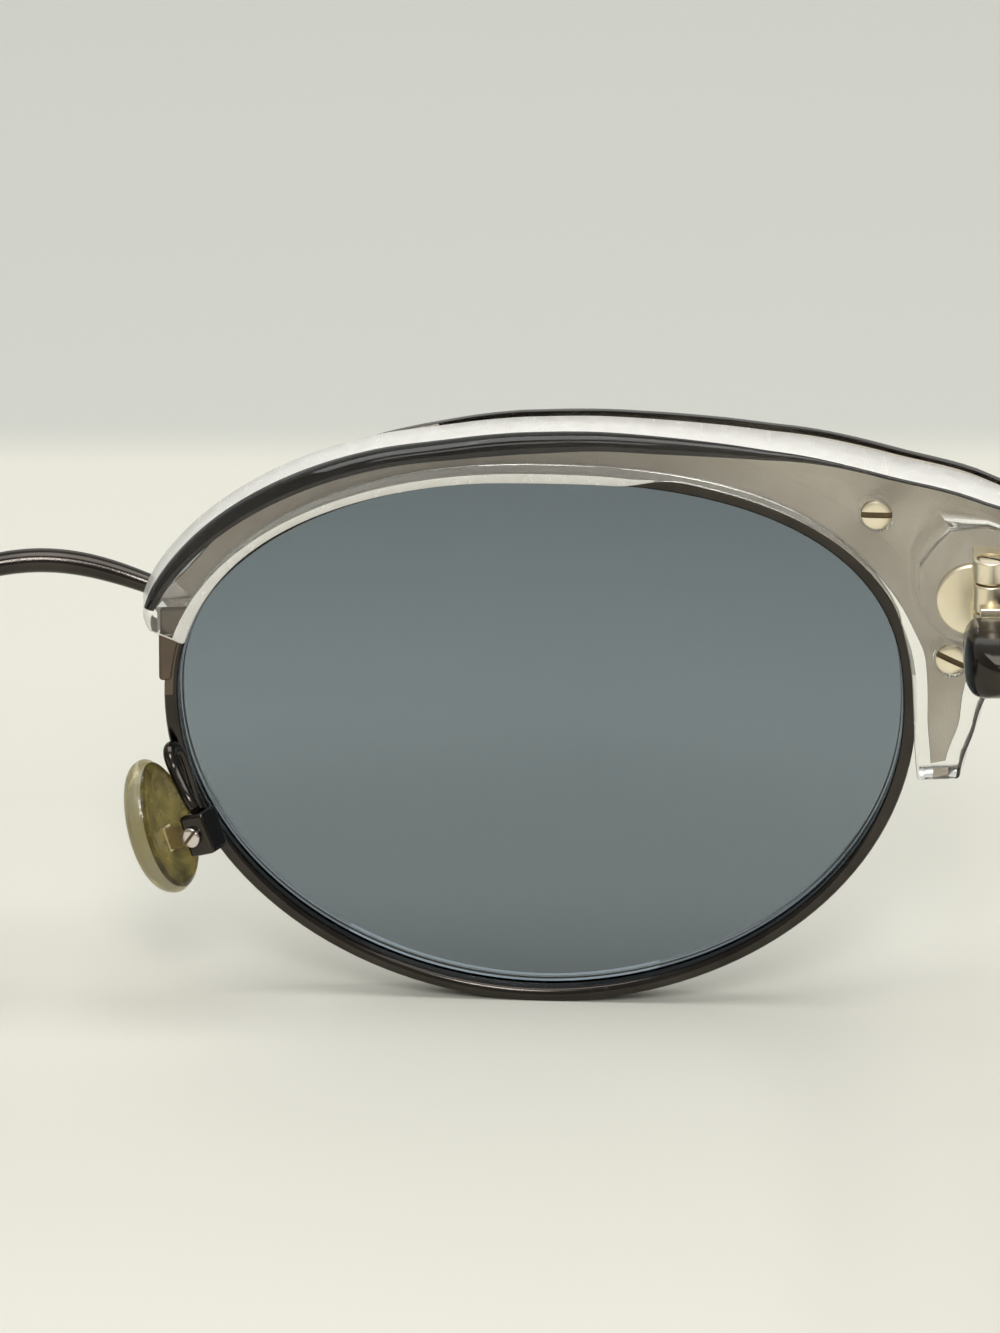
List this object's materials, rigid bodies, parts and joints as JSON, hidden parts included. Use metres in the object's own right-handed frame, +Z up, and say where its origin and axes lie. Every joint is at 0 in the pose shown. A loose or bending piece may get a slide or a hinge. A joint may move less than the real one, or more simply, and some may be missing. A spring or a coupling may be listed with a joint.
{
  "type": "sunglasses",
  "caption": "Browline sunglasses with tinted lenses in metal rims, clear brows backed on metal plates, folding temples with clear tips, and screwed nose pads that rock.",
  "frame": {"origin": "on the surface the open glasses stand on, under the middle of their width and length", "axes": "-Y is the way the front faces, +Y the way the open temples run, +X the wearer's left, +Z up"},
  "size_m": [0.14, 0.153, 0.0434],
  "materials": {
    "gunmetal": "polished gunmetal plating",
    "satin_plate": "sandblasted taupe",
    "brass": "pale brass, lightly polished",
    "nickel": "polished",
    "clear_acetate": "clear, polished",
    "grey_lens": "grey tint, polished",
    "silicone": "clear, yellowed"
  },
  "bodies": {
    "front": {"bridge": "gunmetal", "right_lens": "grey_lens", "right_eyewire": "gunmetal", "right_rim_screw": "nickel", "right_brow": "clear_acetate", "right_brow_plate": "satin_plate", "right_upper_brow_screw": "brass", "right_lower_brow_screw": "brass", "right_hinge_base": "brass", "right_hinge_screw": "brass", "right_pad_arm": "gunmetal", "right_pad_box": "gunmetal", "right_pad_screw": "nickel", "left_lens": "grey_lens", "left_eyewire": "gunmetal", "left_rim_screw": "nickel", "left_brow": "clear_acetate", "left_brow_plate": "satin_plate", "left_upper_brow_screw": "brass", "left_lower_brow_screw": "brass", "left_hinge_base": "brass", "left_hinge_screw": "brass", "left_pad_arm": "gunmetal", "left_pad_box": "gunmetal", "left_pad_screw": "nickel"},
    "right_temple": {"right_temple_hinge": "brass", "right_temple_arm": "gunmetal", "right_temple_tip": "clear_acetate"},
    "left_temple": {"left_temple_hinge": "brass", "left_temple_arm": "gunmetal", "left_temple_tip": "clear_acetate"},
    "right_pad": {"right_pad_insert": "nickel", "right_nose_pad": "silicone"},
    "left_pad": {"left_pad_insert": "nickel", "left_nose_pad": "silicone"}
  },
  "joints": [
    {"name": "left_temple_fold", "type": "hinge", "parent": "front", "child": "left_temple", "pos_m": [0.0663, -0.05752, 0.03488], "axis": [0, 0, 1], "range_deg": [0, 91]},
    {"name": "right_temple_fold", "type": "hinge", "parent": "front", "child": "right_temple", "pos_m": [-0.0663, -0.05752, 0.03488], "axis": [0, 0, -1], "range_deg": [0, 87]},
    {"name": "left_pad_rock", "type": "hinge", "parent": "front", "child": "left_pad", "pos_m": [0.01124, -0.06582, 0.01428], "axis": [-0.4695, 0.8829, 0], "range_deg": [-6, 6]},
    {"name": "right_pad_rock", "type": "hinge", "parent": "front", "child": "right_pad", "pos_m": [-0.01124, -0.06582, 0.01428], "axis": [0.4695, 0.8829, 0], "range_deg": [-6, 6]}
  ]
}
